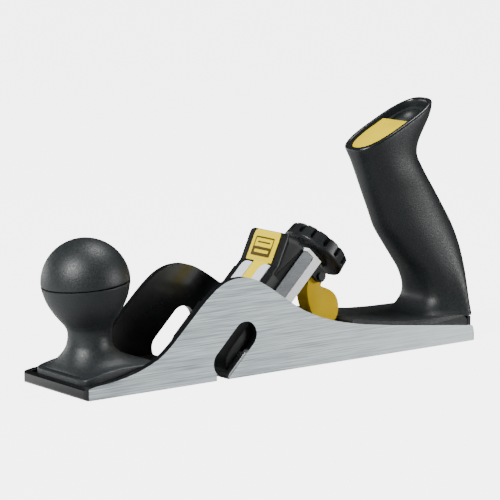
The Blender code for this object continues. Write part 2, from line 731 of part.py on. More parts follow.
def main():
    clear_scene()
    ground = material("ground iron", (0.60, 0.63, 0.65), 0.35, 0.9)
    plastic = material("charcoal plastic", (0.05, 0.055, 0.06), 0.6)
    gloss = material("gloss black plastic", (0.02, 0.02, 0.022), 0.25)
    matt = material("matt black plastic", (0.03, 0.03, 0.033), 0.55)
    yellow = material("yellow plastic", (0.80, 0.56, 0.04), 0.4)
    pale = material("pale grey plastic", (0.62, 0.64, 0.68), 0.4)
    bright = material("bright plated steel", (0.85, 0.86, 0.88), 0.25, 1.0)
    dark = material("dark grey steel", (0.16, 0.17, 0.18), 0.45, 0.6)
    edge = material("blade steel", (0.72, 0.74, 0.76), 0.2, 1.0)
    screw = material("zinc plated screw", (0.66, 0.66, 0.64), 0.35, 1.0)

    make_body(ground)
    make_knob_base(plastic)
    make_knob_cap(material("charcoal dome", (0.05, 0.055, 0.06), 0.6))
    make_knob_bolt(screw)
    make_handle(material("charcoal handle", (0.045, 0.05, 0.055), 0.55))
    make_handle_screw("handle_screw_front", HANDLE_SCREWS[0], screw)
    make_handle_screw("handle_screw_rear", HANDLE_SCREWS[1], screw)
    make_blade_store(material("yellow drawer", (0.80, 0.60, 0.06), 0.4))
    make_carrier_plate(bright)
    make_blade_holder(dark)
    make_blade(edge)
    make_blade_pin("blade_pin_left", BLADE_PINS[0], screw)
    make_blade_pin("blade_pin_right", BLADE_PINS[1], screw)
    make_lever_cap(matt)
    make_cap_screw(screw)
    make_label(material("yellow label", (0.86, 0.68, 0.12), 0.4))
    make_panel("panel_left", -1, pale)
    make_panel("panel_right", 1, pale)
    make_stud(screw)
    make_wheel(gloss)
    make_yoke(dark)
    make_bracket(matt)
    make_pivot_pin(screw)
    make_lever(yellow)
    make_pressure_pin(screw)


main()
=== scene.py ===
# %% [markdown]
# # A rebate bench plane
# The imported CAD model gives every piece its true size, place and motion. This script keeps that frame
# and gives each piece the shape detail and the finish of the real tool: ground iron, fine-grained
# charcoal mouldings, gloss black paint, yellow plastic and plated steel.

# %% Load the frame
import math

import bmesh
import bpy
import numpy as np
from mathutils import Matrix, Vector


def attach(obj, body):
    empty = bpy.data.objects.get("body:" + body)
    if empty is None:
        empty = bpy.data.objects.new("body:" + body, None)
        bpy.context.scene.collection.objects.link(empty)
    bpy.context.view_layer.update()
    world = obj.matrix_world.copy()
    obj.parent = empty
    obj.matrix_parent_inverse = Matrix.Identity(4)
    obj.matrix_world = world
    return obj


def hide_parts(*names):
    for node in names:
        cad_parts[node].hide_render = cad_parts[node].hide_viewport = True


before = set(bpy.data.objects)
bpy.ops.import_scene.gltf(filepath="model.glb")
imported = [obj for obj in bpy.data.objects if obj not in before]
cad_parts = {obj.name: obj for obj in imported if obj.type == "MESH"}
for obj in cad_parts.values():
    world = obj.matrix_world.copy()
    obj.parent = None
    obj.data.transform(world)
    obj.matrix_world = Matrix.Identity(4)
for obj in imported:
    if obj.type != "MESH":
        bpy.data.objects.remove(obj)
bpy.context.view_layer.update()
MM = 0.001
print("CAD nodes:", len(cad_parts))

# %% [markdown]
# ## Camera
# A long lens from the toe's side and a little above: the tool is 254 mm long and stands 1.35 m away,
# so its parallel edges stay nearly parallel. The lens is shifted a little instead of tilted.

# %% Camera
AZIMUTH, ELEVATION, DISTANCE = math.radians(-37.403), math.radians(9.658), 1.34663
TARGET = Vector((0.0, 0.0, 0.050))
back = Vector((
    math.sin(AZIMUTH) * math.cos(ELEVATION),
    -math.cos(AZIMUTH) * math.cos(ELEVATION),
    math.sin(ELEVATION),
))
camera = bpy.data.objects.new("camera", bpy.data.cameras.new("camera"))
camera.data.lens = 186.71
camera.data.sensor_width = 36.0
camera.data.shift_x, camera.data.shift_y = -0.01597, 0.03136
camera.location = TARGET + back * DISTANCE
camera.rotation_euler = (-back).to_track_quat("-Z", "Y").to_euler()
bpy.context.scene.collection.objects.link(camera)
bpy.context.scene.camera = camera
print("camera at", [round(c, 3) for c in camera.location])

# %% [markdown]
# ## Shader maths
# A material is a graph of nodes. Writing it as arithmetic keeps it readable, so one small class wraps
# an output socket and turns +, -, * and / into Math nodes, and one class makes a material and any node.

# %% Directions and socket places
X, Y, Z = (1.0, 0.0, 0.0), (0.0, 1.0, 0.0), (0.0, 0.0, 1.0)
MIX_SHARE, MIX_FIRST, MIX_SECOND, MIX_COLOUR = 0, 6, 7, 2  # a colour mix's inputs, and its output


# %% Wires
class Wire:
    """An output socket that takes part in arithmetic with numbers and other wires."""

    def __init__(self, paint, socket):
        self.paint, self.socket = paint, socket

    def maths(self, operation, *others):
        """A Math node of this operation, with this wire first."""
        return self.paint.node("ShaderNodeMath", {"operation": operation}, self, *others)

    def __add__(self, other):
        return self.maths("ADD", other)

    __radd__ = __add__

    def __sub__(self, other):
        return self.maths("SUBTRACT", other)

    def __rsub__(self, other):
        return self.maths("MULTIPLY", -1.0) + other

    def __mul__(self, other):
        return self.maths("MULTIPLY", other)

    __rmul__ = __mul__

    def __truediv__(self, other):
        return self.maths("DIVIDE", other)

    def size(self):
        return self.maths("ABSOLUTE")

    def most(self, other):
        return self.maths("MAXIMUM", other)

    def least(self, other):
        return self.maths("MINIMUM", other)

    def step(self, low, high):
        """0 below low, 1 above high, a smooth rise between; the other way round if low is the larger."""
        smooth = {"interpolation_type": "SMOOTHSTEP"}
        up = self.paint.node("ShaderNodeMapRange", smooth, self, min(low, high), max(low, high))
        return up if low < high else 1 - up


# %% Paints
class Paint:
    """A material with its Principled shader, and one method that adds any other node."""

    def __init__(self, name, colour, roughness, metallic=0.0, **fixed):
        self.material = bpy.data.materials.new(name)
        self.material.use_nodes = True
        self.tree = self.material.node_tree
        self.shader = self.tree.nodes["Principled BSDF"]
        self.set("Base Color", (*colour, 1.0))
        self.set("Roughness", roughness)
        self.set("Metallic", metallic)
        for key, value in fixed.items():
            self.set(key.replace("_", " "), value)
        self.place = self.node("ShaderNodeTexCoord", out="Object")

    def set(self, name, value):
        """Gives a socket of the shader a number, a colour or a wire."""
        socket = self.shader.inputs[name]
        if isinstance(value, Wire):
            self.tree.links.new(value.socket, socket)
        else:
            socket.default_value = value

    def node(self, kind, settings=None, *values, out=0, **named):
        """Any other node: its settings, its inputs in order or by name, and which output to wrap."""
        made = self.tree.nodes.new(kind)
        for key, value in (settings or {}).items():
            setattr(made, key, value)
        for key, value in [*enumerate(values), *named.items()]:
            socket = made.inputs[key.replace("_", " ") if isinstance(key, str) else key]
            if isinstance(value, Wire):
                self.tree.links.new(value.socket, socket)
            else:
                socket.default_value = value
        return Wire(self, made.outputs[out])

    def noise(self, scale, detail=2.0, stretch=(1, 1, 1), turn=(0, 0, 0)):
        """Cloudy noise from 0 to 1: scale in waves per metre, and stretch packs an axis tighter."""
        spot = self.node("ShaderNodeMapping", {}, self.place, Rotation=turn, Scale=stretch)
        return self.node("ShaderNodeTexNoise", {}, spot, Scale=scale, Detail=detail)

    def blend(self, share, first, second):
        """A colour between two, by a share from 0 to 1."""
        made = self.tree.nodes.new("ShaderNodeMix")
        made.data_type = "RGBA"
        for place, value in ((MIX_SHARE, share), (MIX_FIRST, first), (MIX_SECOND, second)):
            if isinstance(value, Wire):
                self.tree.links.new(value.socket, made.inputs[place])
            else:
                made.inputs[place].default_value = value if place == MIX_SHARE else (*value, 1.0)
        return Wire(self, made.outputs[MIX_COLOUR])

    def along(self, direction):
        """How far a point lies along a direction, in metres."""
        dot = {"operation": "DOT_PRODUCT"}
        return self.node("ShaderNodeVectorMath", dot, self.place, direction, out="Value")

    def bump(self, height, depth, strength=1.0):
        """Makes the shading follow a height between 0 and 1, this many metres deep."""
        made = self.tree.nodes.new("ShaderNodeBump")
        made.inputs["Strength"].default_value = strength
        made.inputs["Distance"].default_value = depth
        self.tree.links.new(height.socket, made.inputs["Height"])
        self.set("Normal", Wire(self, made.outputs[0]))


# %% [markdown]
# ## Ground iron and black paint
# The casting is painted black all over and then ground on its sides and sole, which leaves pale
# blue-grey iron with fine lines along its length; the iron is painted paler towards the heel as a painted
# reflection. Which finish a point has follows from where it lies: iron on the two outer planes and the sole,
# iron darkened with painted shade in the sawn side slots, paint everywhere else.

# %% Casting finish
CHEEK_OUTSIDE, CHEEK_INSIDE = 0.0290, 0.0252  # metres from the middle plane
SLOT_TOP, SLOT_FRONT, SLOT_BACK = 0.0312, -0.0615, -0.0275


def casting_finish():
    """Iron where the casting is ground or sawn, paint on the rest."""
    paint = Paint("ground_iron_and_black_paint", (0.3, 0.32, 0.33), 0.4, 0.0, Coat_Roughness=0.12)
    x, y, z = paint.along(X), paint.along(Y).size(), paint.along(Z)
    side = y.step(CHEEK_OUTSIDE - 0.00032, CHEEK_OUTSIDE - 0.00016)
    sole = z.step(0.00035, 0.0002)
    slot_length = x.step(SLOT_FRONT, SLOT_FRONT + 0.001) * x.step(SLOT_BACK, SLOT_BACK - 0.001)
    slot_place = z.step(SLOT_TOP, SLOT_TOP - 0.0006) * slot_length
    slot = slot_place * y.step(CHEEK_INSIDE - 0.00015, CHEEK_INSIDE) * (1 - side)
    bare = (side + sole + slot).least(1.0)
    lines = paint.noise(1.0, 3.0, stretch=(22, 60, 1500))
    scratches = paint.noise(1.0, 1.0, stretch=(60, 90, 3400))
    patches = paint.noise(26.0, 2.0, stretch=(0.5, 1, 1))
    tone = (lines - 0.5) * 1.7 + (scratches - 0.5) * 1.9 + (patches - 0.5) * 0.25 + 0.5
    # painted reflection: the ground iron is blended paler towards the heel
    painted_heel_sheen = x.step(-0.02, 0.12)
    iron = paint.blend(tone, (0.29, 0.34, 0.355), (0.76, 0.84, 0.87))
    iron = paint.blend(painted_heel_sheen * 0.45, iron, (0.92, 0.98, 1.0))
    # painted shade: the sawn slot walls are bare iron, darkened here as shade inside the recess
    iron = paint.blend(slot * 0.75, iron, (0.10, 0.11, 0.115))
    dust = paint.noise(300.0, 2.0)
    black = paint.blend(dust, (0.0025, 0.003, 0.0032), (0.006, 0.0065, 0.007))
    paint.set("Base Color", paint.blend(bare, black, iron))
    paint.set("Metallic", bare * 0.55)
    paint.set("Roughness", bare * ((tone - 0.5) * 0.2 + 0.27) + 0.26 + dust * 0.05)
    paint.set("Coat Weight", (1 - bare) * 0.25)
    peel = paint.noise(160.0, 2.0)
    paint.bump(bare * (lines * 0.5 + scratches * 0.5) + (1 - bare) * peel * 0.5, 0.00005, 0.5)
    return paint.material


# %% [markdown]
# ## Moulded plastics
# The knob and the handle are a fine-grained charcoal moulding: the grain is a real roughness of about
# half a millimetre that breaks a highlight into specks. The wheel and the lever cap are a darker, smoother
# black, and the yellow pieces are a flat, hard plastic with faint flow marks.


# %% Charcoal
def charcoal(name, shade=1.0, grain=0.00016, rim=None):
    """Fine-grained moulding; rim is a plane, as a direction and a distance, above which it is polished."""
    paint = Paint(name, (0.03, 0.035, 0.037), 0.5, 0.0, Specular_IOR_Level=0.4)
    specks = paint.noise(1150.0, 2.0)
    fine = paint.noise(3000.0, 1.0)
    clouds = paint.noise(45.0, 3.0)
    share = (specks - 0.5) * 0.9 + (clouds - 0.5) * 0.5 + 0.5
    low = tuple(c * shade for c in (0.0075, 0.0094, 0.0101))
    high = tuple(c * shade for c in (0.0190, 0.0230, 0.0246))
    paint.set("Base Color", paint.blend(share, low, high))
    roughness = (specks - 0.5) * 0.40 + (clouds - 0.5) * 0.08 + 0.46
    relief = specks * 0.7 + fine * 0.3
    if rim:
        direction, distance = rim
        polished = paint.along(direction).step(distance - 0.0006, distance + 0.0004)
        roughness = roughness - polished * 0.22
        relief = relief * (1 - polished)
    paint.set("Roughness", roughness)
    paint.bump(relief, grain, 0.8)
    return paint.material


# %% Black and yellow plastics
def black_plastic(name, colour, roughness, grain, scale):
    """Smooth black with faint smears; the grain is its depth in metres, the scale its waves per metre."""
    paint = Paint(name, colour, roughness, 0.0, Specular_IOR_Level=0.3)
    specks = paint.noise(scale, 2.0)
    smears = paint.noise(70.0, 3.0, stretch=(1, 1, 2))
    pale = tuple(c * 1.9 + 0.002 for c in colour)
    paint.set("Base Color", paint.blend((specks - 0.5) * 0.8 + 0.35, colour, pale))
    paint.set("Roughness", (smears - 0.5) * 0.18 + (specks - 0.5) * 0.08 + roughness)
    paint.bump(specks, grain, 0.6)
    return paint.material


def yellow_plastic(name, low, high, roughness=0.32):
    """Yellow that drifts between two shades, as it does where a mould fills."""
    paint = Paint(name, high, roughness, 0.0, Specular_IOR_Level=0.12)
    flow = paint.noise(60.0, 3.0)
    grain = paint.noise(1300.0, 2.0)
    paint.set("Base Color", paint.blend((flow - 0.5) * 1.2 + (grain - 0.5) * 0.3 + 0.5, low, high))
    paint.set("Roughness", (flow - 0.5) * 0.12 + (grain - 0.5) * 0.14 + roughness)
    paint.bump(grain * 0.6 + flow * 0.4, 0.00004, 0.5)
    return paint.material


# %% [markdown]
# ## Plated and ground steel
# Small hardware is zinc plated, the carrier plate is bright plated with a fine lengthwise grain, the
# blade is ground. Each grain is noise stretched along the way the wheel or the rolls ran.


# %% Steels
def steel(name, low, high, roughness, metallic, grain=(300, 300, 300), turn=(0, 0, 0), depth=0.00002):
    """Metal between two shades; the grain is its waves per metre along each axis, after the turn."""
    paint = Paint(name, high, roughness, metallic)
    lines = paint.noise(1.0, 3.0, stretch=grain, turn=turn)
    clouds = paint.noise(120.0, 3.0)
    share = (lines - 0.5) * 1.1 + (clouds - 0.5) * 0.6 + 0.5
    paint.set("Base Color", paint.blend(share, low, high))
    paint.set("Roughness", (clouds - 0.5) * 0.16 + (lines - 0.5) * 0.14 + roughness)
    paint.bump(lines, depth, 0.5)
    return paint.material


# %% [markdown]
# ## Every finish
# One material for each kind of surface. The handle's is polished on the rim of its mouth, a plane that
# slopes up to the rear.

# %% Finishes
UP_THE_BED = (0.0, math.radians(45.0), 0.0)
casting = casting_finish()
knob_charcoal = charcoal("charcoal_moulding")
OPEN_X, OPEN_Z, OPEN_TILT = 62.0, 106.2, math.radians(26.0)
MOUTH_UP = (-math.sin(OPEN_TILT), 0.0, math.cos(OPEN_TILT))
mouth_height = (OPEN_X * MOUTH_UP[0] + OPEN_Z * MOUTH_UP[2]) * MM
handle_charcoal = charcoal("charcoal_handle", 0.8, rim=(MOUTH_UP, mouth_height - 0.0009))
wheel_black = black_plastic("wheel_black_plastic", (0.010, 0.011, 0.012), 0.3, 0.00002, 900.0)
matt_black = black_plastic("matt_black_plastic", (0.002, 0.0024, 0.0026), 0.5, 0.00004, 1400.0)
cam_yellow = yellow_plastic("yellow_lever_plastic", (0.74, 0.44, 0.0), (0.95, 0.66, 0.001))
drawer_yellow = yellow_plastic("yellow_drawer_plastic", (0.70, 0.51, 0.0), (0.80, 0.60, 0.001))
panel_grey = steel("pale_grey_plastic", (0.66, 0.70, 0.75), (0.80, 0.84, 0.88), 0.45, 0.0)
plate_steel = steel(
    "bright_plated_steel", (0.90, 0.92, 0.94), (1.0, 1.0, 1.0), 0.40, 0.15, (60, 60, 1400), UP_THE_BED,
)
dark_steel = steel(
    "dark_grey_steel", (0.11, 0.12, 0.125), (0.24, 0.255, 0.265), 0.42, 0.35, (80, 400, 1800), UP_THE_BED,
)
blade_steel = steel(
    "ground_blade_steel", (0.55, 0.57, 0.58), (0.78, 0.79, 0.80), 0.24, 1.0, (1500, 40, 1500), UP_THE_BED,
)
zinc = steel("zinc_plate", (0.50, 0.50, 0.48), (0.72, 0.72, 0.69), 0.34, 1.0)
dark_zinc = steel("black_oxide_pin", (0.012, 0.012, 0.013), (0.03, 0.03, 0.031), 0.4, 0.5)
print("finishes:", len(bpy.data.materials))

# %% [markdown]
# ## The label
# A yellow plate with a plain printed panel: a dark frame with a filled half. It carries no lettering.
# The print is a pattern worked out from distances to rounded boxes, drawn on the label's own slope.
# The cap, the label and the wheel are laid out in bed coordinates, along the 45 degree bed and square to it.

# %% Bed coordinates
BED_START = -41.0  # where the bed meets the sole, in millimetres along X
KINK = (66.0, 7.2)  # where the cap's flat turns into its slope, in bed coordinates
CAP_TOP = (80.5, 12.6)  # a point farther up that slope


def bed(u, n, y=0.0):
    """Bed coordinates, u up the bed and n square to it, to the common frame, in millimetres."""
    u, n = np.asarray(u, float), np.asarray(n, float)
    h = math.sqrt(0.5)
    return np.stack([BED_START + (u - n) * h, np.broadcast_to(y, u.shape) + 0.0 * u, (u + n) * h], -1)


# %% Label finish
def label_finish():
    """Yellow with the plain print, in metres up the slope from its foot and across from the middle."""
    paint = Paint("yellow_label_with_plain_print", (0.9, 0.7, 0.1), 0.36, 0.0, Specular_IOR_Level=0.12)
    rise = math.atan2(CAP_TOP[1] - KINK[1], CAP_TOP[0] - KINK[0]) + math.radians(45.0)
    slope = (math.cos(rise), 0.0, math.sin(rise))
    foot = bed(*KINK) * MM
    along = paint.along(slope) - float(foot @ np.array(slope))
    across = paint.along(Y)

    def box(low, high, centre, half, corner):
        """Distance to a rounded box: the overshoot past its inner box, less the corner's radius."""
        a = (along - (low + high) / 2).size() - ((high - low) / 2 - corner)
        b = (across - centre).size() - (half - corner)
        out = (a.most(0.0) * a.most(0.0) + b.most(0.0) * b.most(0.0)).maths("SQRT")
        return out + a.most(b).least(0.0) - corner

    edge = box(0.0032, 0.0136, 0.0008, 0.0078, 0.0008)
    ring = edge.step(0.00014, 0.0) * edge.step(-0.00095, -0.0008)  # a line 0.9 mm wide
    low_half = box(0.0032, 0.0082, 0.0008, 0.0078, 0.0005).step(0.0001, -0.0001)
    bar = box(0.0050, 0.0066, 0.0008, 0.0058, 0.0004).step(0.0001, -0.0001)
    rule = box(0.0102, 0.0111, 0.0008, 0.0052, 0.0002).step(0.0001, -0.0001)
    ink = (ring.most(low_half * (1 - bar)).most(rule)).least(1.0)
    grain = paint.noise(900.0, 2.0)
    yellow = paint.blend(grain, (0.80, 0.60, 0.0), (0.92, 0.71, 0.001))
    paint.set("Base Color", paint.blend(ink * 0.96, yellow, (0.045, 0.028, 0.012)))
    paint.set("Roughness", (grain - 0.5) * 0.12 + 0.36)
    paint.bump(grain, 0.00002, 0.4)
    return paint.material


label_yellow = label_finish()

# %% [markdown]
# ## Ways to make a surface
# Three helpers cover nearly every piece: a smooth curve through chosen values, a skin over a stack of
# closed rings, and a merged copy of a CAD node whose sharp edges are given a small radius.


# %% Curves
def flowing(values, steps):
    """A Catmull-Rom curve: each stretch is a cubic that leaves and arrives along its neighbours' chords."""
    p = np.asarray(values, float)
    p = np.vstack([2 * p[0] - p[1], p, 2 * p[-1] - p[-2]])
    a, b, c, d = p[:-3], p[1:-2], p[2:-1], p[3:]
    t = np.linspace(0, 1, steps, endpoint=False)[:, None, None]
    curve = b + 0.5 * ((c - a) * t + (2 * a - 5 * b + 4 * c - d) * t**2 + (3 * b - a - 3 * c + d) * t**3)
    return np.vstack([curve.transpose(1, 0, 2).reshape(-1, p.shape[1]), p[-2]])


def superellipse(angle, power, taper=0.0):
    """Points where the powers of x and y add up to one, by angle; taper narrows the -x end."""
    c, s = np.cos(angle), np.sin(angle)
    x = np.sign(c) * np.abs(c) ** (2 / power)
    y = np.sign(s) * np.abs(s) ** (2 / power) * (1 - taper * (1 - x) / 2)
    return x, y


def arc_points(centre, radius, start, end, steps=8):
    """Points on an arc, from one angle to another in degrees."""
    turn = np.radians(np.linspace(start, end, steps + 1))
    return np.column_stack([centre[0] + radius * np.cos(turn), centre[1] + radius * np.sin(turn)])


def refined(line, step):
    """A polyline resampled so that no stretch is longer than the step."""
    out = []
    for a, b in zip(line[:-1], line[1:]):
        count = max(1, int(np.ceil(np.linalg.norm(b - a) / step)))
        out.append(a + (b - a) * np.linspace(0, 1, count, endpoint=False)[:, None])
    return np.vstack(out + [line[-1:]])


# %% [markdown]
# A skin is quads between neighbouring rings, closed by a fan or by one flat face at each end. A slab is
# the skin of one outline carried through its thickness.


# %% Skins
def skin(rings, fans=True):
    """Points and faces of a closed skin over rings, an array of levels by points around by three."""
    levels, count, _ = rings.shape
    low = np.arange(levels - 1)[:, None] * count
    here, following = np.arange(count)[None, :], (np.arange(count)[None, :] + 1) % count
    above = low + count
    quads = np.stack([low + here, low + following, above + following, above + here], -1).reshape(-1, 4)
    if not fans:
        ends = [list(range(count)), list(range((levels - 1) * count, levels * count))]
        return rings.reshape(-1, 3), quads.tolist() + ends
    points = np.vstack([rings.reshape(-1, 3), rings[0].mean(0), rings[-1].mean(0)])
    base, top = levels * count, levels * count + 1
    i, j = here[0], following[0]
    wedges = np.concatenate([
        np.stack([np.full(count, base), j, i], -1),
        np.stack([np.full(count, top), (levels - 1) * count + i, (levels - 1) * count + j], -1),
    ])
    return points, quads.tolist() + wedges.tolist()


def softened(corners, reach, steps=4):
    """An open outline whose corners become parabolas that start this far before and end this far after."""
    p = np.asarray(corners, float)
    out = [p[:1]]
    t = np.linspace(0, 1, steps + 1)[:, None]
    for before, here, after in zip(p[:-2], p[1:-1], p[2:]):
        a, b = before - here, after - here
        a *= min(reach, np.linalg.norm(a) / 2) / np.linalg.norm(a)
        b *= min(reach, np.linalg.norm(b) / 2) / np.linalg.norm(b)
        out.append(here + a * (1 - t) ** 2 + b * t**2)
    return np.vstack(out + [p[-1:]])


def inset(outline, amount):
    """A closed outline moved inwards: each point goes along the mean of its two edges' inward normals."""
    edge = np.roll(outline, -1, 0) - outline
    edge /= np.maximum(np.linalg.norm(edge, axis=1, keepdims=True), 1e-9)
    normal = np.stack([-edge[:, 1], edge[:, 0]], -1)
    mean = normal + np.roll(normal, 1, 0)
    mean /= np.maximum(np.linalg.norm(mean, axis=1, keepdims=True), 1e-9)
    share = np.maximum((mean * normal).sum(1, keepdims=True), 0.5)
    area = (outline[:, 0] * np.roll(outline[:, 1], -1) - np.roll(outline[:, 0], -1) * outline[:, 1]).sum()
    return outline + mean / share * amount * np.sign(area)


def slab(outline, low, high, roll, place):
    """A flat plate: its outline carried from low to high, with both rims rolled in by a quarter circle."""
    turn = np.radians(np.linspace(0, 90, 5))
    rings = []
    for a in turn:
        rings.append(place(inset(outline, roll * (1 - math.sin(a))), low + roll * (1 - math.cos(a))))
    for a in turn:
        rings.append(place(inset(outline, roll * (1 - math.cos(a))), high - roll * (1 - math.sin(a))))
    return skin(np.array(rings), fans=False)


# %% [markdown]
# A piece is made from millimetre points, cleaned so that its faces point out, and then dressed: it gets
# its finish, the body that carries it and the CAD nodes that it stands for.


# %% Pieces
def link(name, mesh):
    """A new object in the scene."""
    made = bpy.data.objects.new(name, mesh)
    bpy.context.scene.collection.objects.link(made)
    return made


def clean(mesh, merge=1e-7):
    """Merges points that coincide, in metres, and turns every face outwards."""
    shape = bmesh.new()
    shape.from_mesh(mesh)
    bmesh.ops.remove_doubles(shape, verts=shape.verts, dist=merge)
    bmesh.ops.recalc_face_normals(shape, faces=shape.faces)
    shape.to_mesh(mesh)
    shape.free()


def solid(name, points, faces):
    """An object from millimetre points, with its faces pointing out."""
    mesh = bpy.data.meshes.new(name)
    mesh.from_pydata((np.asarray(points) * MM).tolist(), [], faces)
    clean(mesh)
    return link(name, mesh)


def joined(name, *pieces):
    """One object from several closed shells."""
    shape = bmesh.new()
    for piece in pieces:
        shape.from_mesh(piece.data)
        bpy.data.objects.remove(piece, do_unlink=True)
    mesh = bpy.data.meshes.new(name)
    shape.to_mesh(mesh)
    shape.free()
    return link(name, mesh)


def dress(made, body, slot, paint, *nodes, sharp=32.0):
    """Gives a piece its finish, its body and the CAD nodes it stands for; the slot argument is not used."""
    made.data.materials.clear()
    made.data.materials.append(paint)
    made.data.shade_smooth()
    made.data.set_sharp_from_angle(angle=math.radians(sharp))
    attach(made, body)
    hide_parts(*nodes)
    print(made.name, len(made.data.polygons), "faces on", body)


# %% [markdown]
# A copy of a CAD node keeps its outline. Bevels round its edges, and Booleans cut or join closed solids.


# %% Copies, edges and cuts
def copy_of(node):
    """A merged copy of a CAD node, with its flat areas made into whole faces."""
    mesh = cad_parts[node].data.copy()
    shape = bmesh.new()
    shape.from_mesh(mesh)
    bmesh.ops.remove_doubles(shape, verts=shape.verts, dist=2e-6)
    bmesh.ops.dissolve_limit(shape, angle_limit=math.radians(0.5), verts=shape.verts, edges=shape.edges)
    shape.to_mesh(mesh)
    shape.free()
    mesh.materials.clear()
    return link("shown_" + node, mesh)


def eased(made, width, segments=2, angle=35.0):
    """A radius on every edge sharper than the angle; width in millimetres."""
    step = made.modifiers.new("eased edges", "BEVEL")
    step.width, step.segments = width * MM, segments
    step.limit_method, step.angle_limit = "ANGLE", math.radians(angle)
    step.harden_normals = False
    step.miter_outer = "MITER_ARC"
    return made


def settled(made):
    """Applies what modifiers an object has."""
    bpy.context.view_layer.update()
    shown = made.evaluated_get(bpy.context.evaluated_depsgraph_get())
    mesh = bpy.data.meshes.new_from_object(shown)
    made.modifiers.clear()
    made.data = mesh
    return made


def cut(made, *cutters, operation="DIFFERENCE"):
    """Takes each cutter out of a piece, or joins it on, and removes the cutter."""
    for cutter in cutters:
        step = made.modifiers.new("cut", "BOOLEAN")
        step.operation, step.solver, step.object = operation, "EXACT", cutter
        settled(made)
        bpy.data.objects.remove(cutter, do_unlink=True)
    return made


# %% [markdown]
# ## The casting and its flat hardware
# These pieces already have their true outlines, so each is a merged copy of its CAD node with the small
# edge radius of casting, sawing or moulding. The radius is what catches the thin bright edge lines.

# %% Pieces kept from the frame
# node, body, slot, finish, edge radius in millimetres, and its segments
KEPT = (
    ("body", "base", "ground_iron", casting, 0.45, 3),
    ("knob_bolt", "base", "zinc", zinc, 0.15, 2),
    ("handle_screw_front", "base", "zinc", zinc, 0.12, 2),
    ("handle_screw_rear", "base", "zinc", zinc, 0.12, 2),
    ("adjuster_stud", "base", "zinc", zinc, 0.15, 2),
    ("carrier_plate", "carriage", "bright_steel", plate_steel, 0.25, 2),
    ("blade_holder", "carriage", "dark_steel", dark_steel, 0.35, 3),
    ("blade", "carriage", "blade_steel", blade_steel, 0.05, 1),
    ("blade_pin_left", "carriage", "zinc", zinc, 0.12, 2),
    ("blade_pin_right", "carriage", "zinc", zinc, 0.12, 2),
    ("cap_screw", "carriage", "zinc", zinc, 0.15, 2),
    ("wheel_yoke", "carriage", "dark_steel", dark_steel, 0.25, 2),
    ("lever_bracket", "carriage", "matt_black", matt_black, 0.4, 3),
    ("lever_pivot_pin", "carriage", "zinc", dark_zinc, 0.2, 2),
    ("pressure_pin", "carriage", "zinc", zinc, 0.15, 2),
    ("cam_lever", "lever", "yellow", cam_yellow, 1.5, 5),
)
for node, body, slot_name, paint, radius, segments in KEPT:
    made = eased(copy_of(node), radius, segments)
    dress(made, body, slot_name, paint, node)

# %% [markdown]
# ## The lever cap and its label
# The cap is a thick moulding with a steeper upper part that carries the label. Seen square on, its top
# corners are round, so its upper part is skinned over outlines that stand lower towards the sides. The
# label is a round-cornered plate on the slope with a stem down the flat, between two pale panels.

# %% Places on the cap
# millimetres: the head starts at a place up the bed and ends at a place up the slope; the rest are across
CAP_HALF, CAP_UNDER = 16.6, 0.12
HEAD_FROM, SLOPE_END, CAP_CORNER, CAP_ROLL = 58.0, 17.8, 3.2, 1.3
LABEL_LOW, LABEL_HIGH, STEM_HALF, PANEL_OUT = -10.4, 11.1, 3.7, 11.1
SLOPE = np.subtract(CAP_TOP, KINK) / np.hypot(*np.subtract(CAP_TOP, KINK))


def on_flat(outline, height):
    """Plan points (u, across) at a height n over the bed."""
    return bed(outline[:, 0], np.full(len(outline), height), outline[:, 1])


def on_slope(outline, height):
    """Points (up the slope, across) at a height over the sloping part of the cap."""
    u = KINK[0] + outline[:, 0] * SLOPE[0] - height * SLOPE[1]
    n = KINK[1] + outline[:, 0] * SLOPE[1] + height * SLOPE[0]
    return bed(u, n, outline[:, 1])


def plan(low_u, high_u, left, right, corner_left, corner_right):
    """A rectangle in plan with its two upper corners rounded."""
    return np.vstack([
        [(low_u, left), (low_u, right)][::-1],
        arc_points((high_u - corner_left, left + corner_left), corner_left, -90, 0),
        arc_points((high_u - corner_right, right - corner_right), corner_right, 0, 90),
    ])


# %% Lever cap
def cap_head_rings():
    """The cap's upper part from side to side: an outline per place across, lower at the round corners."""
    half = CAP_HALF - 0.01
    turn = np.radians(np.linspace(90, 0, 14))
    far = half - CAP_CORNER + CAP_CORNER * np.sin(turn)
    rings = []
    for y in np.concatenate([-far, far[::-1]]):
        out = max(0.0, abs(y) - (half - CAP_CORNER)) / CAP_CORNER
        edge = max(0.0, abs(y) - (half - CAP_ROLL)) / CAP_ROLL
        lower = CAP_CORNER * (1 - math.sqrt(max(0.0, 1 - out**2)))
        rolled = CAP_ROLL * (1 - math.sqrt(max(0.0, 1 - edge**2)))
        top = np.array(KINK) + SLOPE * (SLOPE_END - lower)
        square = np.array([SLOPE[1], -SLOPE[0]])
        outline = softened(np.vstack([
            (HEAD_FROM, 5.0), (HEAD_FROM, 7.19), KINK, top, top + square * 7.4, (84.2, 4.0),
            (83.8, CAP_UNDER), (HEAD_FROM, CAP_UNDER), (HEAD_FROM, 5.0),
        ]), 1.1, 4)[:-1]
        outline = inset(outline, rolled)
        rings.append(bed(outline[:, 0], outline[:, 1], np.full(len(outline), y)))
    return np.array(rings)


# the copy ends 3 mm inside the new head, so the two overlap
CUT_FROM = HEAD_FROM + 3
off_plan = np.array([(CUT_FROM, -30.0), (110.0, -30.0), (110.0, 30.0), (CUT_FROM, 30.0)])
off_rings = np.array([on_flat(off_plan, -9.0), on_flat(off_plan, 26.0)])
lower_cap = cut(copy_of("lever_cap"), solid("off", *skin(off_rings, fans=False)))
settled(eased(lower_cap, 0.5, 3))
cap_head = solid("cap_head", *skin(cap_head_rings(), fans=False))
dress(joined("lever_cap_moulding", lower_cap, cap_head), "carriage", "matt_black", matt_black, "lever_cap")


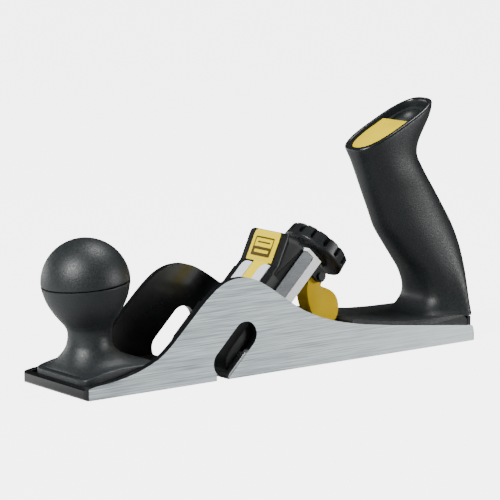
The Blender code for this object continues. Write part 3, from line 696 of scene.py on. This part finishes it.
# %% Label and panels
FLAT_FROM = 43.0  # where the label's stem and the panels begin, up the bed
label_outline = plan(0.5, SLOPE_END - 0.5, LABEL_LOW, LABEL_HIGH, 1.6, 2.4)
label_plate = solid("label_plate", *slab(label_outline, 0.02, 0.45, 0.2, on_slope))
stem_outline = np.array([
    (FLAT_FROM, -STEM_HALF), (60.5, -STEM_HALF), (60.5, -STEM_HALF - 4.2), (66.6, -STEM_HALF - 4.2),
    (66.6, STEM_HALF), (FLAT_FROM, STEM_HALF),
])
label_stem = solid("label_stem", *slab(stem_outline, KINK[1] + 0.02, KINK[1] + 0.6, 0.12, on_flat))
dress(joined("cap_label_plate", label_plate, label_stem), "carriage", "yellow", label_yellow, "cap_label")
for name, low, high, low_corner, high_corner in (
    ("panel_left", -PANEL_OUT, -STEM_HALF - 0.3, 0.4, 3.6),
    ("panel_right", STEM_HALF + 0.3, PANEL_OUT, 0.4, 3.2),
):
    outline = plan(FLAT_FROM, 65.2, low, high, low_corner, high_corner)
    made = solid(name + "_pale", *slab(outline, KINK[1] + 0.02, KINK[1] + 0.95, 0.25, on_flat))
    dress(made, "carriage", "pale_grey", panel_grey, name)

# %% [markdown]
# ## The adjuster wheel
# A disc turned from one profile, whose rim is then pressed in by fourteen U-shaped flutes. The radius at
# each angle and height is the smaller of the turned radius and the flute's floor, so no cutter is needed.

# %% Adjuster wheel
# millimetres: the shaft's height over the bed, the wheel's radius, and the flutes' depth and half width
SHAFT_N, WHEEL_R, FLUTES, FLUTE_DEEP, FLUTE_HALF = -17.0, 17.9, 14, 2.1, 1.5
FLUTE_FROM, FLUTE_ROUND, RIM_TAPER, RIM_FROM, POINTS_A_FLUTE = 94.4, 1.5, 0.10, 92.3, 40


def wheel_rings():
    """The turned profile, as places along the shaft and radii, pressed in by the flutes."""
    profile = softened((
        (97.4, 0.05), (97.4, 2.7), (85.0, 2.7), (85.0, 5.6), (86.4, 5.6), (86.4, 4.0), (88.7, 4.0),
        (88.7, 8.4), (90.6, 10.0), (90.6, 16.2), (91.5, WHEEL_R), (98.1, WHEEL_R), (99.3, 16.2),
        (99.3, 11.0), (98.3, 10.0), (98.3, 0.05),
    ), 0.45, 4)
    rim = (profile[:, 1] > 14.0).nonzero()[0]
    first, after = rim[0], rim[-1] + 1
    dense = np.vstack([profile[:first], refined(profile[first:after], 0.18), profile[after:]])
    along, radius = dense[:, :1], dense[:, 1:]
    turn = np.linspace(0, 2 * np.pi, FLUTES * POINTS_A_FLUTE, endpoint=False)[None, :]
    pitch = 2 * np.pi / FLUTES
    off = (np.mod(turn, pitch) - pitch / 2) * WHEEL_R / FLUTE_HALF
    past = np.maximum(FLUTE_FROM - along, 0.0) / FLUTE_ROUND
    bowl = np.clip((1 - off**2 - past**2) * 3.0, 0, 1)
    floor = WHEEL_R - FLUTE_DEEP * bowl - (along - RIM_FROM) * RIM_TAPER
    r = np.where(radius > 12.0, np.minimum(radius, floor), radius + 0 * turn)
    axis = np.array([math.sqrt(0.5), 0, math.sqrt(0.5)])
    side, other = np.cross(axis, Y), np.cross(axis, np.cross(axis, Y))
    spoke = side * np.cos(turn)[..., None] + other * np.sin(turn)[..., None]
    return bed(0.0, SHAFT_N) + axis * (along + 0 * turn)[..., None] + spoke * r[..., None]


wheel = solid("adjuster_wheel_fluted", *skin(wheel_rings()))
dress(wheel, "wheel", "gloss_black", wheel_black, "adjuster_wheel", sharp=38)

# %% [markdown]
# ## The knob
# A ball with a flat seam, standing on a flared neck that spreads into a square skirt. Every level of it
# is a superellipse: power 2 is a circle, power 9 nearly a rectangle, so one formula covers the whole
# shape and the levels between are read off a smooth curve.

# %% Knob sizes
# millimetres: the knob's centre and radius; the skirt's ends, half width, height, fall and where it falls from
KNOB_X, SEAM_Z, KNOB_R, LEAN = -107.3, 52.7, 22.4, math.radians(5.2)
SKIRT_X, SKIRT_HALF, SKIRT_TOP, SKIRT_FALL, SLOPE_X = (-123.9, -78.5), 23.6, 12.6, 3.8, -106.0
FLOOR = 5.3  # the casting's floor, which the skirt and the handle stand on
BELL_BLENDS, BELL_HIGH = 20.2, 7.6  # the skirt's fall fades out up to here, over this height
around = np.linspace(0, 2 * np.pi, 160, endpoint=False)


def skirt_top(x):
    """The skirt's top falls away towards the toe."""
    return SKIRT_TOP - SKIRT_FALL * np.maximum(0.0, (SLOPE_X - x) / (SLOPE_X - SKIRT_X[0]))


def knob_leaning(radius, height):
    """A level circle of the knob, tilted with its axis about the seam's centre."""
    x, y = radius * np.cos(around), radius * np.sin(around)
    return np.stack([
        KNOB_X + x * math.cos(LEAN) - height * math.sin(LEAN),
        y,
        SEAM_Z + height * math.cos(LEAN) + x * math.sin(LEAN),
    ], -1)


# %% Knob base
def knob_base_rings():
    """Skirt, bell, neck, cup and the hollow under the dome, from the floor up."""
    middle, long = (SKIRT_X[0] + SKIRT_X[1]) / 2, (SKIRT_X[1] - SKIRT_X[0]) / 2
    rings = []
    # share of the skirt's height, and how far its rim is drawn in
    skirt = ((0.0, 0.0), (0.5, 0.0), (0.80, 0.0), (0.88, 0.12), (0.94, 0.42), (0.98, 0.9), (1.0, 1.6))
    for share, drawn_in in skirt:
        x, y = superellipse(around, 9.0)
        x, y = middle + x * (long - drawn_in), y * (SKIRT_HALF - drawn_in)
        rings.append(np.stack([x, y, FLOOR + (skirt_top(x) - FLOOR) * share], -1))
    # height, share of the way to the neck's centre, half length, half width, squareness
    bell = flowing((
        (12.75, 0.1, long - 2.4, SKIRT_HALF - 2.4, 8.0), (12.95, 0.35, 20.0, 20.0, 5.4),
        (13.6, 0.62, 18.4, 18.2, 4.0), (15.0, 0.8, 16.2, 16.0, 3.0), (17.4, 0.9, 14.0, 13.9, 2.3),
        (20.2, 0.97, 12.1, 12.2, 2.0), (23.0, 1.0, 11.2, 11.3, 2.0), (26.0, 1.0, 10.9, 10.9, 2.0),
        (28.2, 1.0, 11.1, 11.1, 2.0),
    ), 5)
    neck = KNOB_X + 1.9
    for z, share, long_half, side_half, power in bell:
        x, y = superellipse(around, power)
        x, y = middle + (neck - middle) * share + x * long_half, y * side_half
        sag = max(0.0, (BELL_BLENDS - z) / BELL_HIGH)
        rings.append(np.stack([x, y, z - (SKIRT_TOP - skirt_top(x)) * sag], -1))
    # height from the seam, radius
    cup = flowing((
        (-22.5, 11.6), (-20.0, 13.0), (-16.5, 15.6), (-12.5, 18.2), (-8.0, 20.4), (-4.0, 21.6),
        (-0.7, KNOB_R - 0.06),
    ), 5)
    rings += [knob_leaning(radius, height) for height, radius in cup]
    seam_edge = ((0.28, 0.1), (0.1, 0.3), (0.0, 0.75))
    rings += [knob_leaning(KNOB_R - fall, -0.18 - drop) for drop, fall in seam_edge]
    rings += [knob_leaning(7.2, -0.18), knob_leaning(7.0, -0.5), knob_leaning(7.0, -12.2)]
    return np.array(rings)


knob_base = solid("knob_base_moulding", *skin(knob_base_rings()))
dress(knob_base, "base", "charcoal_plastic", knob_charcoal, "knob_base")


# %% Knob cap
def knob_cap_rings():
    """The dome: a rolled seam edge, then a quarter circle up to the pole."""
    rings = [knob_leaning(6.0, -4.6), knob_leaning(6.0, 0.2), knob_leaning(KNOB_R - 0.8, 0.2)]
    seam_edge = ((0.1, 0.35), (0.3, 0.12), (0.6, 0.04))
    rings += [knob_leaning(KNOB_R - fall, 0.2 + rise) for rise, fall in seam_edge]
    for angle in np.radians(np.linspace(3, 89.2, 52)):
        rings.append(knob_leaning(KNOB_R * math.cos(angle), KNOB_R * math.sin(angle)))
    return np.array(rings)


knob_dome = solid("knob_dome", *skin(knob_cap_rings()))
dress(knob_dome, "knob_top", "charcoal_plastic", knob_charcoal, "knob_cap")

# %% [markdown]
# ## The handle
# The grip is a stack of egg-shaped levels whose front and back follow two curves, and whose top turns
# to meet the sloping oval mouth. The mouth has a rolled rim, a shallow ledge for the drawer's plate, a
# well for its tray and a finger scoop behind it.

# %% The handle's mouth
OPEN_LONG, OPEN_SIDE, OPEN_SQUARE = 28.4, 14.5, 2.75  # half length, half width, power of the outline
SCOOP_ALONG, SCOOP_LONG, SCOOP_SIDE = 40.5, 8.6, 8.4
FOOT_HALF = 24.7
girth = np.linspace(0, 2 * np.pi, 144, endpoint=False)


def mouth(along, across, up):
    """The handle's mouth: along its slope from the front, across, and square to it."""
    along, across = np.asarray(along, float), np.asarray(across, float)
    c, s = math.cos(OPEN_TILT), math.sin(OPEN_TILT)
    return np.stack([OPEN_X + along * c - up * s, across + 0.0 * along, OPEN_Z + along * s + up * c], -1)


def mouth_ring(drawn_in, up):
    """The mouth's outline, drawn in by this much."""
    x, y = superellipse(girth, OPEN_SQUARE)
    return mouth(OPEN_LONG + x * (OPEN_LONG - drawn_in), y * (OPEN_SIDE - drawn_in), up)


# %% Grip
def grip_rings():
    """The grip from its foot to its rim; its top follows cubics that end square to the mouth in front."""
    # height, front, back, half width, squareness, taper
    table = flowing((
        (13.2, 97.0, 128.6, 27.6, 7.0, 0.40), (14.4, 100.0, 129.2, 27.4, 6.4, 0.42),
        (17.0, 104.0, 129.6, 26.6, 5.4, 0.44), (22.0, 107.2, 130.6, 25.0, 4.2, 0.42),
        (28.0, 106.4, 132.0, 23.2, 3.4, 0.38), (36.0, 102.2, 133.2, 21.0, 2.9, 0.30),
        (44.0, 95.4, 133.6, 19.0, 2.6, 0.25), (52.0, 88.8, 132.4, 17.4, 2.45, 0.20),
        (62.0, 81.2, 128.8, 16.0, 2.3, 0.15), (72.0, 76.7, 122.6, 15.3, 2.3, 0.15),
        (82.0, 72.3, 116.0, 14.9, 2.3, 0.15), (90.0, 69.2, 110.4, 14.6, 2.3, 0.10),
        (98.0, 65.8, 105.4, 14.2, 2.3, 0.08),
    ), 5)
    rings = []
    for z, front, back, half, power, taper in table:
        x, y = superellipse(girth, power, taper)
        lengthwise = (front + back) / 2 + x * (back - front) / 2
        rings.append(np.stack([lengthwise, y * half, np.full_like(x, z)], -1))
    low, high = rings[-1], mouth_ring(0.0, -1.2)
    rise = (high - low)[:, 2:]
    leave = (rings[-1] - rings[-2]) / (rings[-1] - rings[-2])[:, 2:] * rise
    behind = ((1 + np.cos(girth)) / 2)[:, None]
    arrive = (high - low) * (1 - behind * (1, 1, 0))
    for t in np.linspace(0.06, 0.94, 13):
        ring = low * (1 + 2 * t) * (1 - t) ** 2 + leave * t * (1 - t) ** 2
        rings.append(ring + high * t**2 * (3 - 2 * t) + arrive * t**2 * (t - 1))
    rings.append(high)
    rim = ((0.06, -0.8), (0.28, -0.4), (0.65, -0.12), (1.15, 0.0), (1.8, 0.0))
    rings += [mouth_ring(drawn_in, up) for drawn_in, up in rim]
    return np.array(rings)


def foot_block():
    """The flat flange under the grip: an outline in X and Z carried across the plane."""
    outline = np.array([
        (43.2, FLOOR), (124.0, FLOOR), (124.0, 11.2), (121.0, 14.0), (96.0, 14.4), (80.0, 15.2),
        (62.0, 17.4), (47.0, 19.9), (44.2, 20.2), (43.2, 19.2),
    ])
    sides = [np.insert(outline, 1, y, axis=1) for y in (-FOOT_HALF, FOOT_HALF)]
    return skin(np.array(sides), fans=False)


# %% [markdown]
# The mouth is hollowed by three closed solids: the ledge's oval, the well's box and the scoop's half egg.


# %% Hollows of the mouth
def mouth_box(front, back, half, low, high):
    """A box square to the mouth."""
    corners = [(front, -half), (back, -half), (back, half), (front, half)]
    return skin(np.array([[mouth(a, b, up) for a, b in corners] for up in (low, high)]), fans=False)


def scoop_rings():
    """Half an egg, sunk behind the drawer's plate."""
    x, y = np.cos(girth) * SCOOP_LONG, np.sin(girth) * SCOOP_SIDE
    rings = []
    for angle in np.radians(np.linspace(4, 90, 14)):
        r = math.sin(angle)
        rings.append(mouth(SCOOP_ALONG + x * r, y * r, -2.9 - 5.6 * math.cos(angle)))
    rings.append(mouth(SCOOP_ALONG + x, y, 4.0))
    return np.array(rings)


def make_handle():
    """The grip joined to its foot, with the ledge, the well and the scoop taken out."""
    handle = solid("handle_moulding", *skin(grip_rings()))
    cut(handle, solid("foot", *foot_block()), operation="UNION")
    ledge = ((3.5, -3.4), (3.1, -1.6), (2.9, -0.6), (2.5, -0.1), (1.9, 0.3), (1.2, 3.0))
    recess = np.array([mouth_ring(drawn_in, up) for drawn_in, up in ledge])
    return cut(
        handle,
        solid("recess", *skin(recess)),
        solid("well", *mouth_box(6.4, 34.4, 6.8, -20.0, -1.0)),
        solid("scoop", *skin(scoop_rings())),
    )


dress(make_handle(), "base", "charcoal_plastic", handle_charcoal, "handle", sharp=40.0)

# %% [markdown]
# ## The blade store
# A yellow drawer lies in the mouth of the handle: a thin plate with a round front and a straight rear
# edge, over a narrow tray.

# %% Blade store
LEDGE, PLATE_BACK = 3.9, 34.0  # how far inside the mouth the plate's edge lies, and its straight end


def store_plate_rings():
    """The plate's outline is an oval cut straight across at the rear, with its edges rolled."""
    rings = []
    x, y = superellipse(girth, OPEN_SQUARE)
    for drawn_in, up in ((0.5, -3.05), (0.0, -2.8), (0.0, -1.75), (0.12, -1.52), (0.45, -1.4)):
        along = np.minimum(OPEN_LONG + x * (OPEN_LONG - LEDGE - drawn_in), PLATE_BACK - drawn_in)
        rings.append(mouth(along, y * (OPEN_SIDE - LEDGE - drawn_in), up))
    return np.array(rings)


store_plate = solid("store_plate", *skin(store_plate_rings()))
pocket = solid("pocket", *mouth_box(8.4, 34.0, 5.0, -17.4, -4.6))
tray = cut(solid("tray", *mouth_box(6.8, 33.2, 6.4, -19.0, -2.6)), pocket)
dress(joined("blade_store_drawer", store_plate, tray), "drawer", "yellow", drawer_yellow, "blade_store")

# %% [markdown]
# ## Floor and light
# The floor reads as a white backdrop: it glows fully to the camera, and for the light it casts it glows
# only a little, on its far left. Round it are a nearly dark room and four soft lamps: the key high at the
# toe, one overhead, one low on the near right, and a weak strip at the far left.

# %% Floor
GLOW, LIT_SIDE_SHARE = 5.0, 0.17
floor_mesh = bpy.data.meshes.new("floor")
floor_mesh.from_pydata([(-8, -8, 0), (8, -8, 0), (8, 8, 0), (-8, 8, 0)], [], [(0, 1, 2, 3)])
floor = bpy.data.objects.new("floor", floor_mesh)
floor.location = (0, 0, -0.0002)
bpy.context.scene.collection.objects.link(floor)
floor_paint = Paint("pale_floor", (0.25, 0.25, 0.25), 0.9, 0.0)
seen = floor_paint.node("ShaderNodeLightPath", out="Is Camera Ray")
lit_side = floor_paint.along((-0.6, 0.8, 0.0)).step(0.0, 0.15)
floor_paint.set("Emission Color", seen.most(lit_side * LIT_SIDE_SHARE))
floor_paint.set("Emission Strength", GLOW)
floor_mesh.materials.append(floor_paint.material)

# %% Lights
world = bpy.data.worlds.new("room")
world.use_nodes = True
room = world.node_tree.nodes["Background"]
room.inputs["Color"].default_value = (1.0, 1.0, 1.0, 1.0)
room.inputs["Strength"].default_value = 0.02
bpy.context.scene.world = world


def softbox(name, place, aim, width, height, power):
    """A soft rectangular lamp: its place and aim, its width and height in metres, its power in watts."""
    lamp = bpy.data.lights.new(name, "AREA")
    lamp.shape, lamp.size, lamp.size_y, lamp.energy = "RECTANGLE", width, height, power
    made = bpy.data.objects.new(name, lamp)
    made.location = place
    made.rotation_euler = (Vector(place) - Vector(aim)).to_track_quat("Z", "Y").to_euler()
    bpy.context.scene.collection.objects.link(made)


softbox("key", (-1.00, -0.22, 0.84), (-0.05, 0, 0.05), 0.5, 0.5, 29)
softbox("overhead", (0.42, 0.03, 1.25), (0.03, 0, 0.05), 0.5, 0.5, 13)
softbox("near right", (0.92, -0.95, 0.27), (0.05, 0, 0.06), 0.5, 0.45, 11)
softbox("far left", (-0.48, 1.25, 0.14), (-0.05, 0, 0.05), 1.1, 0.24, 4)
print("lamps:", len(bpy.data.lights))
